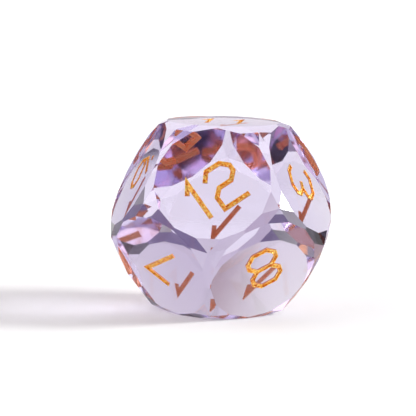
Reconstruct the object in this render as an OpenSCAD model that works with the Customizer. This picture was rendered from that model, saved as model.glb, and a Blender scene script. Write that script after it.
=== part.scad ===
// Twelve-sided die ground from clear lilac glass, with angular numerals cut into
// its faces and filled with gold paint. It rests on the face numbered 2.
// Z is up, the origin is the centre of the resting face, and face 12 looks toward -Y.
// Every main face is ground back to fifteen sides. Around each corner of the solid
// six small facets rise to a blunt point: three face facets and three edge facets.
// All dimensions are millimetres.

/* [Body] */
// Height of the die, from the resting face to the top face
across_flats = 20; // [14:0.5:30]
// Radius of the fifteen corners of a main face, as a share of half the height
face_share = 0.60; // [0.56:0.005:0.615]
// How far each ground point is flattened below its sharp tip
tip_flat = 0.03; // [0.02:0.01:0.2]

/* [Numerals] */
// Height of a numeral between stroke centre lines
digit_h = 4.4; // [3:0.1:5]
// Width of a numeral between stroke centre lines
digit_w = 3.1; // [2:0.1:3.4]
// Size of the slanted corners of a numeral
digit_cut = 0.75; // [0.4:0.05:0.9]
// Width of the engraved stroke
stroke_w = 0.48; // [0.3:0.02:0.8]
// Depth of the engraved groove below the face
groove_depth = 0.32; // [0.15:0.01:0.6]
// Distance between the strokes of the two digits of a number
pair_gap = 1.5; // [1:0.1:2]

/* [Paint] */
// Thickness of the gold paint on the groove walls
wall_coat = 0.06; // [0.03:0.01:0.12]
// Thickness of the gold paint on the groove floor
floor_coat = 0.12; // [0.05:0.01:0.2]

/* [Hidden] */
half_h = across_flats / 2;
ring_el = atan(0.5);
facet_r = face_share * half_h;
pent_mid = half_h * (sqrt(5) - 1) / 2;
pent_r = pent_mid / cos(36);
slab_w = 4 * half_h;
eps = 0.0001;
glass_tint = [0.86, 0.83, 0.93, 0.45];
gold = [0.93, 0.67, 0.2];

// ---- directions of the twelve faces: [number, azimuth, elevation] ----
faces = [
    [11, 0, 90],
    [12, 0, ring_el],
    [3, 72, ring_el],
    [6, 144, ring_el],
    [5, -144, ring_el],
    [9, -72, ring_el],
    [8, 36, -ring_el],
    [4, 108, -ring_el],
    [1, 180, -ring_el],
    [10, -108, -ring_el],
    [7, -36, -ring_el],
    [2, 0, -90]
];
function face_of(number) = [for (f = faces) if (f[0] == number) f][0];
// Direction, in the plane of a face, of its first pentagon corner
function first_corner(f) = (f[2] > 0 && f[2] < 80) ? -90 : 90;

function turn_x(a, v) = [v[0], v[1] * cos(a) - v[2] * sin(a), v[1] * sin(a) + v[2] * cos(a)];
function turn_z(a, v) = [v[0] * cos(a) - v[1] * sin(a), v[0] * sin(a) + v[1] * cos(a), v[2]];
function unit(v) = v / norm(v);
// From the frame of one corner of a face (X toward the corner, Z outward) to the die
function to_die(f, k, v) = turn_z(f[1], turn_x(90 - f[2], turn_z(first_corner(f) + 72 * k, v)));
// One of every pair of opposite directions
function is_front(v) =
    v[2] > eps || (abs(v[2]) <= eps && (v[1] > eps || (abs(v[1]) <= eps && v[0] > 0)));

// ---- facet planes in the frame of one face corner ----
function rim(a) = [facet_r * cos(a), facet_r * sin(a), half_h];
// Edge facet: holds the rim side from 12 to 36 degrees and is square to the edge's mirror plane
edge_line = [-sin(36), cos(36), 0];
edge_mid = [pent_mid * cos(36), pent_mid * sin(36), half_h];
edge_n = unit(cross(rim(36) - rim(12), cross(edge_line, edge_mid)));
edge_sign = edge_n * rim(12) > 0 ? 1 : -1;
edge_dir = edge_sign * edge_n;
edge_d = edge_dir * rim(12);
// The sharp point that the edge facets would reach
tip_dir = unit([pent_r, 0, half_h]);
tip_d = edge_d / (edge_dir * tip_dir);
// Face facet: holds the rim side from -12 to 12 degrees and the sharp point
face_n = unit(cross(rim(12) - rim(-12), tip_d * tip_dir - rim(12)));
face_sign = face_n * rim(12) > 0 ? 1 : -1;
face_dir = face_sign * face_n;
face_d = face_dir * rim(12);

slabs = [
    for (f = faces) if (f[2] > 0) [to_die(f, 0, [0, 0, 1]), half_h],
    for (f = faces) for (k = [0:4]) if (is_front(to_die(f, k, edge_dir))) [to_die(f, k, edge_dir), edge_d],
    for (f = faces) for (k = [0:4]) if (is_front(to_die(f, k, face_dir))) [to_die(f, k, face_dir), face_d],
    for (k = [0:4]) [to_die(faces[0], k, tip_dir), tip_d - tip_flat],
    for (f = faces) if (f[2] > 0 && f[2] < 80) [to_die(f, 0, tip_dir), tip_d - tip_flat]
];

// Slab of glass between two opposite facet planes
module slab(dir, d) {
    rotate([0, acos(dir[2]), atan2(dir[1], dir[0])])
        cube([slab_w, slab_w, 2 * d], center = true);
}

module ground_glass() {
    translate([0, 0, half_h])
        intersection_for (s = slabs)
            slab(s[0], s[1]);
}

// ---- numerals: stroke centre lines, origin in the middle of the digit ----
dx = digit_w / 2;
dy = digit_h / 2;
dc = digit_cut;

// Ring of eight points between heights a and b
function ring(a, b) = [
    [-dx + dc, a], [dx - dc, a], [dx, a + dc], [dx, b - dc],
    [dx - dc, b], [-dx + dc, b], [-dx, b - dc], [-dx, a + dc]
];
// The nine: its stem and bowl in one line, then the corner that closes the bowl on the stem
nine = [
    [[-0.5, -dy], [dx, -0.5], [dx, dy - dc], [dx - dc, dy], [-dx + dc, dy], [-dx, dy - dc],
        [-dx, dc - 0.1], [-dx + dc, -0.1], [dx - dc, -0.1]],
    [[dx - dc - 0.1, -0.2], [dx - 0.05, 0.6]]
];
// Closed rings and open lines of every character; the six is the nine turned half round
function rings_of(c) =
    c == "0" ? [ring(-dy, dy)] :
    c == "8" ? [ring(0, dy), ring(-dy, 0)] :
    [];
function lines_of(c) =
    c == "1" ? [[[-0.72, dy - 1.05], [0, dy], [0, -dy]]] :
    c == "2" ? [[[-dx, dy - 0.95], [-dx + dc, dy], [dx - dc, dy], [dx, dy - dc], [dx, dc], [dx - dc, 0],
        [-0.65, 0], [-1.4, -dc], [-1.4, -dy], [dx, -dy]]] :
    c == "3" ? [[[-dx + 0.1, -dy + 0.7], [-dx + dc + 0.1, -dy], [dx - dc, -dy], [dx, -dy + dc], [dx, -dc],
        [dx - dc, 0], [0, 0]], [[dx - dc, 0], [dx, dc], [dx, dy - dc], [dx - dc, dy], [-dx + dc, dy],
        [-dx, dy - 0.8]]] :
    c == "4" ? [[[0.8, -dy], [0.8, dy - 0.1]], [[0.8, dy], [-dx, -0.6], [dx, -0.6]]] :
    c == "5" ? [[[dx - 0.1, dy], [-1.3, dy], [-1.3, 0.4], [dx - dc, 0.4], [dx, -0.35], [dx, -dy + dc],
        [dx - dc, -dy], [-dx + dc, -dy], [-dx, -dy + 0.8]]] :
    c == "6" ? [for (l = nine) [for (p = l) -p]] :
    c == "7" ? [[[-dx + 0.1, dy], [dx, dy], [-0.9, -dy]]] :
    c == "9" ? nine :
    c == "." ? [[[-0.26, 0], [0.26, 0]]] : [];

function side(v) = [-v[1], v[0]];
function dir2(a, b) = (b - a) / norm(b - a);
// Offset of a line corner to the left by h, meeting both neighbouring sides
function mitre(a, b, c, h) =
    let (p = side(dir2(a, b)), q = side(dir2(b, c))) b + h * (p + q) / (1 + p * q);
// Left side of an open line, its ends drawn in by e
function left_side(l, h, e) = [
    l[0] + e * dir2(l[0], l[1]) + h * side(dir2(l[0], l[1])),
    for (i = [1:1:len(l) - 2]) mitre(l[i - 1], l[i], l[i + 1], h),
    l[len(l) - 1] - e * dir2(l[len(l) - 2], l[len(l) - 1]) + h * side(dir2(l[len(l) - 2], l[len(l) - 1]))
];
function flipped(l) = [for (i = [len(l) - 1:-1:0]) l[i]];
function ring_side(l, h) = [
    for (i = [0:len(l) - 1]) mitre(l[(i + len(l) - 1) % len(l)], l[i], l[(i + 1) % len(l)], h)
];

// Flat outline of one character, every side drawn in by e
module outline(c, e) {
    h = stroke_w / 2 - e;
    for (l = lines_of(c))
        polygon(concat(left_side(l, h, e), left_side(flipped(l), h, e)));
    for (l = rings_of(c))
        difference() {
            polygon(ring_side(l, -h));
            polygon(ring_side(l, h));
        }
}

// ---- where each number stands: [number, turn of its top, [[character, x, y], ...]] ----
layouts = [
    [1, -54, [["1", 0.2, -0.3]]],
    [2, 18, [["2", 0, 0]]],
    [3, -19.5, [["3", 0.25, 0]]],
    [4, 90, [["4", 0.1, 0]]],
    [5, 126, [["5", 0, 0]]],
    [6, 54, [["6", 0, 0], [".", 2.3, -2.0]]],
    [7, -126, [["7", 0, -0.35]]],
    [8, -60, [["8", -0.15, -0.15]]],
    [9, -162, [["9", 0, -1.0], [".", 1.25, -3.2]]],
    [10, 162, [["1", -2.1, -0.3], ["0", dx - 2.1 + pair_gap, -0.3]]],
    [11, 90, [["1", -1.5, -0.3], ["1", 1.8, -0.3]]],
    [12, 127.5, [["1", -2.1, -0.75], ["2", dx - 2.1 + pair_gap, -0.75]]]
];
function layout_of(number) = [for (l = layouts) if (l[0] == number) l][0];

// Places a character, drawn on the XY plane and facing +Z, on the face of a number
module on_face(number, i) {
    f = face_of(number);
    l = layout_of(number);
    translate([0, 0, half_h])
        rotate([0, 0, f[1]])
            rotate([90 - f[2], 0, 0])
                rotate([0, 0, l[1] - 90])
                    translate([l[2][i][1], l[2][i][2], half_h])
                        children();
}

// Groove cut for one character
module groove(number, i) {
    on_face(number, i)
        translate([0, 0, -groove_depth])
            linear_extrude(2 * groove_depth)
                outline(layout_of(number)[2][i][0], 0);
}

// Coat of gold paint lining the floor and walls of one groove
module coat(number, i) {
    c = layout_of(number)[2][i][0];
    color(gold)
        on_face(number, i)
            difference() {
                translate([0, 0, -groove_depth])
                    linear_extrude(groove_depth)
                        outline(c, 0);
                translate([0, 0, floor_coat - groove_depth])
                    linear_extrude(2 * groove_depth)
                        outline(c, wall_coat);
            }
}

module glass_body() {
    color(glass_tint)
        difference() {
            ground_glass();
            for (l = layouts)
                for (i = [0:len(l[2]) - 1])
                    groove(l[0], i);
        }
}

module paint_1() { coat(1, 0); }
module paint_2() { coat(2, 0); }
module paint_3() { coat(3, 0); }
module paint_4() { coat(4, 0); }
module paint_5() { coat(5, 0); }
module paint_6() { coat(6, 0); }
module paint_6_dot() { coat(6, 1); }
module paint_7() { coat(7, 0); }
module paint_8() { coat(8, 0); }
module paint_9() { coat(9, 0); }
module paint_9_dot() { coat(9, 1); }
module paint_10_one() { coat(10, 0); }
module paint_10_zero() { coat(10, 1); }
module paint_11_left() { coat(11, 0); }
module paint_11_right() { coat(11, 1); }
module paint_12_one() { coat(12, 0); }
module paint_12_two() { coat(12, 1); }

glass_body();
paint_1();
paint_2();
paint_3();
paint_4();
paint_5();
paint_6();
paint_6_dot();
paint_7();
paint_8();
paint_9();
paint_9_dot();
paint_10_one();
paint_10_zero();
paint_11_left();
paint_11_right();
paint_12_one();
paint_12_two();
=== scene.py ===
"""Looks for a twelve-sided die cut from clear lilac glass, its numerals lined with gold paint."""

import itertools
import math

import bpy
import numpy as np
from mathutils import Matrix, Vector


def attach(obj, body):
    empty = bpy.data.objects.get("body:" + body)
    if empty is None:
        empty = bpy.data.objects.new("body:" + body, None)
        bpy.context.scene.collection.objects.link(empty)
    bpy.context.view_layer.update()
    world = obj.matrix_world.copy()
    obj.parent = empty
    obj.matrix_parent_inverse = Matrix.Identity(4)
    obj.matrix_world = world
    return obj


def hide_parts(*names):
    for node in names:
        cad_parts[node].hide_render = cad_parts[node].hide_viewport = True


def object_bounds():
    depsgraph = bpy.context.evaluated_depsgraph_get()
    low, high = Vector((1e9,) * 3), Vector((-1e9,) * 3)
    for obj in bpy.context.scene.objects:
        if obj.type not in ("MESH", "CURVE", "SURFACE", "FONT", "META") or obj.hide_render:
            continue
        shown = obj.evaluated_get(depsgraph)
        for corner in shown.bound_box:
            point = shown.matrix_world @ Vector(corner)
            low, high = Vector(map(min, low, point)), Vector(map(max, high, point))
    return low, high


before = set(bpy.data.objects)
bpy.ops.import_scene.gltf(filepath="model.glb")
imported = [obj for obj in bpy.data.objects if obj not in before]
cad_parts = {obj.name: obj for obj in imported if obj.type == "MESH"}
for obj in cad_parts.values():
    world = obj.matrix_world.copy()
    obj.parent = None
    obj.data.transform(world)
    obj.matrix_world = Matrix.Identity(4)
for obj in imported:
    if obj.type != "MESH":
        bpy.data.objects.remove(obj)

CAD_LOW, CAD_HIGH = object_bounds()

MM = 0.001
HALF = (CAD_HIGH.z - CAD_LOW.z) / 2            # from the centre to each main face
CENTRE = Vector((0, 0, CAD_LOW.z + HALF))
SIDE_SLANT = math.atan(0.5)                    # how far the ten side faces lean from upright

# ---- glass and paint ----
GLASS_IOR = 1.534
GLASS_ROUGHNESS = 0.05
TINT = (0.45, 0.275, 0.80, 1)                  # linear; absorbs green most, blue least
TINT_DENSITY = 20.0
WAVE = 3.0 * MM                                # swells left by hand polishing
WAVE_HEIGHT = 0.0015 * MM
FLAKE = 0.19 * MM                              # clumps, coarser than real flakes so they show
FLAKE_LEAN = 0.7                               # sideways part of a flake's direction, end to end
BOND = 0.004 * MM                              # how far the paint reaches into the glass
RIM_GAP = 0.001 * MM                           # how far the paint stays below the face
WALL_MARGIN = 0.02 * MM                        # a triangle this close to the bottom lies on glass
WELD = 0.0005 * MM                             # corners this close together are one
FACET = 0.11 * MM                              # longest edge on the open side of the paint
LUMP = 0.14 * MM                               # size and height of the lumps that the flakes make
LUMP_HEIGHT = 0.03 * MM
LUMP_MIX = (73856093, 19349663, 83492791)      # large primes that scramble a lattice corner
LUMP_SHIFT, LUMP_STIR = 13, 1274126177
LUMP_BITS = 0x7FFFFFFF                         # the largest scrambled value
FLAT_LIMIT = 1e-3                              # planes nearer parallel than this count as one
TIE_BREAK = 1e-6                               # parts edges of equal length

# ---- finishes, sRGB ----
AMBER_BINDER, GOLD_FLAKE, BARE_METAL = "D87618", "FFBC44", "FFE07C"
DULL_COPPER, PALE_COPPER = "FF8C4C", "FFAE74"
PAPER_WHITE = "FAFDFB"

# ---- studio ----
PAPER_SOLID, PAPER_RADIUS = 0.038, 0.052       # the paper fades into the backdrop between these
PAPER_GAP = 0.01 * MM
PAPER_SIDES = 128
KEY_FROM = (102, 25)                           # azimuth and elevation, degrees
KEY_WIDTH = 18                                 # angle that it fills, degrees
KEY_POWER = 3.0
STUDIO_WHITE = "EFEEEE"
BACKDROP_POWER = 1.2
# azimuth, elevation, half width, half height and edge blur in degrees, colour, brightness;
# azimuth 0 is the viewer's side and 90 the right; a later row lies over an earlier one
SCREENS = (
    (0, -45, 180, 46, 1, "FFFDFE", 1.0),       # white table
    (175, 42, 62, 25, 6, "DAD2DC", 1.0),       # far wall
    (-150, 31, 13, 7, 3, "F0ECEC", 1.0),       # paler stretch of that wall
    (158, 9, 24, 8, 2, "75668C", 1.0),         # violet cloth, far right
    (142, -3, 13, 16, 2, "3A3038", 1.0),       # dark stand, back right
    (128, 2, 7, 15, 2, "1A1420", 1.0),         # its near-black side
    (-168, 9, 9, 8, 1.5, "DCD4DC", 1.0),       # boards behind on the left, from pale
    (-162, 5, 4, 9, 2, "C4B8C8", 1.0),
    (-153, 9, 6, 8, 2, "6A5A80", 1.0),         # to violet
    (-131, 15, 15, 18, 2.5, "120C14", 1.0),    # black flag, far left
    (-140, 26, 9.6, 4.2, 1.6, "A88E8E", 1.0),  # brown upper edge of the flag
    (-118, 45, 10, 8, 4, "FFDCF0", 1.6),       # pink lamp, high on the left
    (80, 43, 12, 8, 5, "D4CCD8", 1.0),         # grey panel, high on the right
    (108, 36, 12, 6, 4, "FFFFFF", 1.2),        # glow above the key light
    (-55, 40, 24, 16, 6, "FFECF2", 1.9),       # soft box over the viewer's left
    (10, 60, 55, 14, 4, "0A060A", 1.0),        # black flag over the viewer
    (-5, 44, 16, 9, 4, "4A4048", 1.0),         # its lower edge, less dark
    (36, 37, 10, 5, 3, "FFFFFF", 1.4),         # small lamp, right of the viewer
    (37, 27, 8, 4, 3, "D0A691", 1.0),          # tan card under it
    (20, 2, 22, 9, 4, "FFE6E6", 1.8),          # low lamp beside the viewer
    (60, 12, 9, 7, 3, "4A3844", 1.0),          # dark card, right
    (-43, 0, 10, 7, 3, "FFC08A", 2.8),         # warm reflector
    (-32, 14, 8, 6, 3, "7A6A88", 1.0),         # violet card over it
)

# ---- camera ----
VIEW_AZIMUTH, VIEW_ELEVATION, VIEW_ROLL = 6.05, 8.15, 1.415
VIEW_DISTANCE = 20 * HALF
LENS, SENSOR = 163.5, 36.0
SHIFT = (-0.0315, 0.0170)
CLIP = (0.01, 50)

# ---- light paths ----
GLASS_BOUNCES, GLOSSY_BOUNCES = 32, 16         # many: light crosses the block several times
INDIRECT_CLAMP = 10                            # keeps the sparks of focused light down


# ---- colour and node helpers ----

def linear(hex_colour):
    """An sRGB hex colour as the linear values that a shader reads."""
    raw = np.array([int(hex_colour[i:i + 2], 16) for i in (0, 2, 4)]) / 255
    flat = np.where(raw <= 0.04045, raw / 12.92, ((raw + 0.055) / 1.055) ** 2.4)
    return (*flat.tolist(), 1.0)


def node(tree, kind, settings=None, links=None):
    """Adds a node. Settings are attributes or socket values; links feed sockets from outputs."""
    made = tree.nodes.new(kind)
    for name, value in (settings or {}).items():
        if isinstance(name, int) or name in made.inputs:
            made.inputs[name].default_value = value
        else:
            setattr(made, name, value)
    for name, source in (links or {}).items():
        tree.links.new(source, made.inputs[name])
    return made


def material(name):
    """An empty node material and its tree."""
    made = bpy.data.materials.new(name)
    made.use_nodes = True
    made.node_tree.nodes.clear()
    return made, made.node_tree


# ---- materials ----

def cut_glass():
    """Crystal glass tinted lilac in the melt, ground flat and polished by hand."""
    made, tree = material("lilac_cut_glass")
    place = node(tree, "ShaderNodeTexCoord").outputs["Object"]
    # hand polishing leaves faint swells, which soften what is seen through several facets
    swell = node(tree, "ShaderNodeTexNoise", {"Scale": 1 / WAVE, "Detail": 1.0},
                 {"Vector": place})
    bump = node(tree, "ShaderNodeBump", {"Strength": 1.0, "Distance": WAVE_HEIGHT},
                {"Height": swell.outputs["Fac"]})
    shader = node(tree, "ShaderNodeBsdfPrincipled", {
        "Base Color": (1, 1, 1, 1), "Roughness": GLASS_ROUGHNESS, "IOR": GLASS_IOR,
        "Transmission Weight": 1.0}, {"Normal": bump.outputs["Normal"]})
    # the tint deepens with the length of glass that light has crossed
    tint = node(tree, "ShaderNodeVolumeAbsorption", {"Color": TINT, "Density": TINT_DENSITY})
    node(tree, "ShaderNodeOutputMaterial", None,
         {"Surface": shader.outputs["BSDF"], "Volume": tint.outputs["Volume"]})
    return made


def gold_paint():
    """Gold paint dried in a groove: bright metal flakes lying every way in an amber binder."""
    made, tree = material("gold_metallic_paint")
    place = node(tree, "ShaderNodeTexCoord")
    flakes = node(tree, "ShaderNodeTexVoronoi", {"Scale": 1 / FLAKE},
                  {"Vector": place.outputs["Object"]})
    # each flake takes its own shade, from the amber binder that covers it to bare bright metal
    pick = node(tree, "ShaderNodeSeparateColor", None, {"Color": flakes.outputs["Color"]})
    shade = node(tree, "ShaderNodeValToRGB", None, {"Fac": pick.outputs["Red"]})
    ramp = shade.color_ramp
    ramp.elements[0].position, ramp.elements[0].color = 0.1, linear(AMBER_BINDER)
    ramp.elements[1].position, ramp.elements[1].color = 0.85, linear(BARE_METAL)
    ramp.elements.new(0.4).color = linear(GOLD_FLAKE)
    # each flake also leans its own way, so that the coat glitters grain by grain
    lean = node(tree, "ShaderNodeVectorMath", {
        "operation": "MULTIPLY_ADD", 1: (FLAKE_LEAN,) * 3, 2: (-FLAKE_LEAN / 2,) * 3},
        {0: flakes.outputs["Color"]})
    lean = node(tree, "ShaderNodeVectorMath", {"operation": "ADD"},
                {0: lean.outputs[0], 1: place.outputs["Normal"]})
    lean = node(tree, "ShaderNodeVectorMath", {"operation": "NORMALIZE"}, {0: lean.outputs[0]})
    shader = node(tree, "ShaderNodeBsdfPrincipled", {
        "Metallic": 0.5, "Roughness": 0.32, "Coat Weight": 0.6, "Coat Roughness": 0.15},
                  {"Base Color": shade.outputs["Color"], "Normal": lean.outputs[0]})
    node(tree, "ShaderNodeOutputMaterial", None, {"Surface": shader.outputs["BSDF"]})
    return made


def bonded_paint():
    """The same paint where it lies against the glass: wet by the binder, a dull copper red."""
    made, tree = material("gold_paint_against_glass")
    place = node(tree, "ShaderNodeTexCoord").outputs["Object"]
    clouds = node(tree, "ShaderNodeTexNoise", {"Scale": 1 / (2 * FLAKE), "Detail": 3.0},
                  {"Vector": place})
    shade = node(tree, "ShaderNodeValToRGB", None, {"Fac": clouds.outputs["Fac"]})
    ramp = shade.color_ramp
    ramp.elements[0].position, ramp.elements[0].color = 0.35, linear(DULL_COPPER)
    ramp.elements[1].position, ramp.elements[1].color = 0.65, linear(PALE_COPPER)
    shader = node(tree, "ShaderNodeBsdfPrincipled", {"Metallic": 0.3, "Roughness": 0.5},
                  {"Base Color": shade.outputs["Color"]})
    node(tree, "ShaderNodeOutputMaterial", None, {"Surface": shader.outputs["BSDF"]})
    return made


def paper():
    """Matt white paper that fades out toward its edge, where the white backdrop takes over."""
    made, tree = material("matt_white_paper")
    place = node(tree, "ShaderNodeTexCoord").outputs["Object"]
    reach = node(tree, "ShaderNodeVectorMath", {"operation": "LENGTH"}, {0: place})
    fade = node(tree, "ShaderNodeMapRange", {
        "interpolation_type": "SMOOTHSTEP", "From Min": PAPER_SOLID, "From Max": PAPER_RADIUS},
        {"Value": reach.outputs["Value"]})
    sheet = node(tree, "ShaderNodeBsdfPrincipled", {
        "Base Color": linear(PAPER_WHITE), "Roughness": 0.9, "Specular IOR Level": 0.1})
    clear = node(tree, "ShaderNodeBsdfTransparent")
    edge = node(tree, "ShaderNodeMixShader", None, {
        0: fade.outputs["Result"], 1: sheet.outputs[0], 2: clear.outputs[0]})
    node(tree, "ShaderNodeOutputMaterial", None, {"Surface": edge.outputs[0]})
    return made


# ---- pieces ----

def main_faces():
    """Outward directions of the twelve main faces: up, down, and five round each half in turn."""
    turns = np.radians(36 * np.arange(10))
    rise = np.where(np.arange(10) % 2 == 0, 1, -1) * math.sin(SIDE_SLANT)
    level = math.cos(SIDE_SLANT)
    sides = np.stack([np.sin(turns) * level, -np.cos(turns) * level, rise], axis=1)
    return np.vstack([[(0, 0, 1), (0, 0, -1)], sides])


def welded(source):
    """The corners of a mesh of loose triangles, merged where they meet, and its triangles."""
    flat = np.empty(len(source.vertices) * 3)
    source.vertices.foreach_get("co", flat)
    points = flat.reshape(-1, 3)
    source.calc_loop_triangles()
    tris = np.empty(len(source.loop_triangles) * 3, int)
    source.loop_triangles.foreach_get("vertices", tris)
    cell = np.round(points / WELD).astype(np.int64)
    _, first, back = np.unique(cell, axis=0, return_index=True, return_inverse=True)
    tris = back.reshape(-1)[tris].reshape(-1, 3)
    whole = (tris[:, 0] != tris[:, 1]) & (tris[:, 1] != tris[:, 2]) & (tris[:, 2] != tris[:, 0])
    return points[first], tris[whole]


def directed(points, tris):
    """The normal of each triangle, twice its area long."""
    a, b, c = (points[tris[:, i]] for i in range(3))
    return np.cross(b - a, c - a)


def refined(points, tris, open_side, limit):
    """Halves the edges of the open side, round after round, until none is longer than a limit.

    In each round an edge is halved only where it is the longest of both its triangles, so that
    nothing tears: with m its middle, the triangle (a, b, c) becomes (a, m, c) and (m, b, c).
    """
    while True:
        ends = np.sort(np.stack([tris, np.roll(tris, -1, axis=1)], axis=2), axis=2)
        edge = ends[..., 0] * len(points) + ends[..., 1]
        length = np.linalg.norm(points[ends[..., 0]] - points[ends[..., 1]], axis=2)
        # edges of no open triangle are left whole, and a trace of the edge's number parts equals
        length *= np.isin(edge, edge[open_side]) * (1 + TIE_BREAK * np.sin(edge))
        side = length.argmax(axis=1)
        rows = np.arange(len(tris))
        chosen = edge[rows, side]
        _, back, count = np.unique(chosen, return_inverse=True, return_counts=True)
        split = (count[back.reshape(-1)] == 2) & (length[rows, side] > limit)
        if not split.any():
            return points, tris, open_side
        a, b, c = (tris[rows, (side + i) % 3][split] for i in range(3))
        _, first, middle = np.unique(chosen[split], return_index=True, return_inverse=True)
        m = middle.reshape(-1) + len(points)
        points = np.vstack([points, (points[a[first]] + points[b[first]]) / 2])
        tris = np.vstack([tris[~split], np.stack([a, m, c], axis=1), np.stack([m, b, c], axis=1)])
        open_side = np.concatenate([open_side[~split], open_side[split], open_side[split]])


def lumps(places, size):
    """Lattice noise from -1 to 1: a fixed height at each corner of a cubic lattice, from its
    scrambled place, and between corners the sum of the eight round it, each weighted smoothly.
    """
    cell = np.floor(places / size).astype(np.int64)
    part = places / size - cell
    part = part * part * (3 - 2 * part)
    height = np.zeros(len(places))
    for corner in itertools.product((0, 1), repeat=3):
        mixed = ((cell + corner) * LUMP_MIX).sum(axis=1)
        mixed = ((mixed ^ (mixed >> LUMP_SHIFT)) * LUMP_STIR) & LUMP_BITS
        weight = np.where(corner, part, 1 - part).prod(axis=1)
        height += weight * (mixed / (LUMP_BITS // 2) - 1)
    return height


def paint_piece(coat, finishes):
    """One groove's coat of paint, grown so that it grips the glass, with a lumpy open side.

    Each corner moves to where the planes that meet there cross once each has moved outward by
    BOND: the least-squares answer of (normal . move = BOND) over the triangles round the corner.
    Then the rim is held just below the face. A triangle that reaches the bottom of the coat lies
    against glass. The rest is the open side: it is cut fine, and its points move along their
    normals by lattice noise.
    """
    points, tris = welded(coat.data)
    normals = directed(points, tris)
    normals /= np.linalg.norm(normals, axis=1)[:, None]
    planes = np.zeros((len(points), 3, 3))
    wanted = np.zeros((len(points), 3))
    for i in range(3):
        np.add.at(planes, tris[:, i], normals[:, :, None] * normals[:, None, :])
        np.add.at(wanted, tris[:, i], normals * BOND)
    grown = points + np.einsum("nij,nj->ni", np.linalg.pinv(planes, rcond=FLAT_LIMIT), wanted)

    faces = main_faces()
    outward = faces[((points - CENTRE).mean(axis=0) @ faces.T).argmax()]
    depth = (points - CENTRE) @ outward
    open_side = depth[tris].min(axis=1) > depth.min() + WALL_MARGIN
    proud = (grown - CENTRE) @ outward - HALF + RIM_GAP
    grown -= np.clip(proud, 0, None)[:, None] * outward

    grown, tris, open_side = refined(grown, tris, open_side, FACET)
    normals = directed(grown, tris)
    lift = np.zeros_like(grown)
    for i in range(3):
        np.add.at(lift, tris[:, i], normals)
    lift /= np.linalg.norm(lift, axis=1)[:, None]
    inner = (grown - CENTRE) @ outward < HALF - 2 * RIM_GAP
    inner[tris[~open_side]] = False
    grown += lift * (inner * LUMP_HEIGHT * lumps(grown, LUMP))[:, None]

    mesh = bpy.data.meshes.new("gold_" + coat.name)
    mesh.from_pydata(grown.tolist(), [], tris.tolist())
    for finish in finishes:
        mesh.materials.append(finish)
    mesh.polygons.foreach_set("material_index", np.where(open_side, 0, 1).astype(np.int32))
    made = bpy.data.objects.new("gold_" + coat.name, mesh)
    bpy.context.scene.collection.objects.link(made)
    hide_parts(coat.name)
    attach(made, "root")


def floor():
    """A round sheet of paper: points at equal turns round a circle, just under the die."""
    turns = np.linspace(0, 2 * math.pi, PAPER_SIDES, endpoint=False)
    rim = np.stack([np.cos(turns), np.sin(turns), np.zeros_like(turns)], axis=1) * PAPER_RADIUS
    rim[:, 2] = CAD_LOW.z - PAPER_GAP
    mesh = bpy.data.meshes.new("floor")
    mesh.from_pydata(rim.tolist(), [], [tuple(range(len(rim)))])
    mesh.materials.append(paper())
    made = bpy.data.objects.new("floor", mesh)
    bpy.context.scene.collection.objects.link(made)


# ---- light and camera ----

def direction(azimuth, elevation):
    """Unit vector toward an azimuth and an elevation in degrees."""
    a, e = math.radians(azimuth), math.radians(elevation)
    return Vector((math.sin(a) * math.cos(e), -math.cos(a) * math.cos(e), math.sin(e)))


def key_light():
    """One broad soft light, low on the right and a little behind the die."""
    data = bpy.data.lights.new("key_light", "SUN")
    data.angle = math.radians(KEY_WIDTH)
    data.energy = KEY_POWER
    made = bpy.data.objects.new("key_light", data)
    made.rotation_mode = "QUATERNION"
    made.rotation_quaternion = direction(*KEY_FROM).to_track_quat("Z", "Y")
    bpy.context.scene.collection.objects.link(made)


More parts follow.
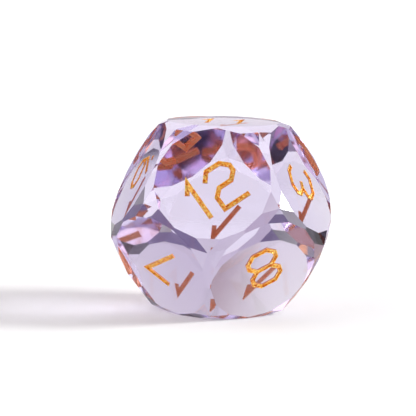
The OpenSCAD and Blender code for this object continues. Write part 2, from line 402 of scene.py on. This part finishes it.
def surroundings():
    """A pale studio with screens round it, each a soft-edged window in azimuth and elevation."""
    world = bpy.data.worlds.new("studio")
    world.use_nodes = True
    tree = world.node_tree
    tree.nodes.clear()
    ray = node(tree, "ShaderNodeTexCoord").outputs["Generated"]
    parts = node(tree, "ShaderNodeSeparateXYZ", None, {"Vector": ray})
    height = node(tree, "ShaderNodeMath", {"operation": "ARCSINE"}, {0: parts.outputs["Z"]})
    level = node(tree, "ShaderNodeVectorMath", {"operation": "MULTIPLY", 1: (1, 1, 0)}, {0: ray})
    level = node(tree, "ShaderNodeVectorMath", {"operation": "NORMALIZE"}, {0: level.outputs[0]})

    def window(angle, half, blur):
        """1 where an angle is inside a half width, 0 outside, smooth across the edge."""
        made = node(tree, "ShaderNodeMapRange", {
            "interpolation_type": "SMOOTHSTEP",
            "From Min": math.radians(half + blur), "From Max": math.radians(half - blur)},
            {"Value": angle})
        return made.outputs["Result"]

    shade = node(tree, "ShaderNodeRGB")
    shade.outputs[0].default_value = linear(STUDIO_WHITE)
    shade = shade.outputs[0]
    for azimuth, elevation, half_width, half_height, blur, colour, brightness in SCREENS:
        across = node(tree, "ShaderNodeVectorMath", {
            "operation": "DOT_PRODUCT", 1: direction(azimuth, 0)}, {0: level.outputs[0]})
        turn = node(tree, "ShaderNodeMath", {"operation": "ARCCOSINE"},
                    {0: across.outputs["Value"]})
        rise = node(tree, "ShaderNodeMath", {"operation": "SUBTRACT", 1: math.radians(elevation)},
                    {0: height.outputs[0]})
        rise = node(tree, "ShaderNodeMath", {"operation": "ABSOLUTE"}, {0: rise.outputs[0]})
        inside = node(tree, "ShaderNodeMath", {"operation": "MULTIPLY"}, {
            0: window(turn.outputs[0], half_width, blur),
            1: window(rise.outputs[0], half_height, blur)})
        screen = [value * brightness for value in linear(colour)[:3]] + [1]
        mixed = node(tree, "ShaderNodeMix", {"data_type": "RGBA", 7: screen},
                     {0: inside.outputs[0], 6: shade})
        shade = mixed.outputs[2]
    around = node(tree, "ShaderNodeBackground", None, {"Color": shade})
    backdrop = node(tree, "ShaderNodeBackground", {
        "Color": (1, 1, 1, 1), "Strength": BACKDROP_POWER})
    path = node(tree, "ShaderNodeLightPath")
    seen = node(tree, "ShaderNodeMixShader", None, {
        0: path.outputs["Is Camera Ray"], 1: around.outputs[0], 2: backdrop.outputs[0]})
    node(tree, "ShaderNodeOutputWorld", None, {"Surface": seen.outputs[0]})
    bpy.context.scene.world = world


def camera():
    """A long lens a little above the die, with a slight roll."""
    roll = math.radians(VIEW_ROLL)
    back = direction(VIEW_AZIMUTH, VIEW_ELEVATION)
    level = Vector((0, 0, 1)).cross(back).normalized()
    rise = back.cross(level)
    right = level * math.cos(roll) + rise * math.sin(roll)
    up = rise * math.cos(roll) - level * math.sin(roll)
    data = bpy.data.cameras.new("camera")
    data.sensor_width, data.lens = SENSOR, LENS
    data.shift_x, data.shift_y = SHIFT
    data.clip_start, data.clip_end = CLIP
    made = bpy.data.objects.new("camera", data)
    axes = Matrix((right, up, back)).transposed().to_4x4()
    made.matrix_world = Matrix.Translation(CENTRE + back * VIEW_DISTANCE) @ axes
    bpy.context.scene.collection.objects.link(made)
    bpy.context.scene.camera = made


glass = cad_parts["glass_body"]
glass.data.materials.clear()
glass.data.materials.append(cut_glass())
paint_finishes = (gold_paint(), bonded_paint())
for name in sorted(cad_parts):
    if name.startswith("paint_"):
        paint_piece(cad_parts[name], paint_finishes)

floor()
surroundings()
key_light()
camera()

scene = bpy.context.scene
scene.view_settings.view_transform = "Standard"
scene.cycles.max_bounces = GLASS_BOUNCES
scene.cycles.transmission_bounces = GLASS_BOUNCES
scene.cycles.glossy_bounces = GLOSSY_BOUNCES
scene.cycles.caustics_refractive = True
scene.cycles.caustics_reflective = True
scene.cycles.sample_clamp_indirect = INDIRECT_CLAMP
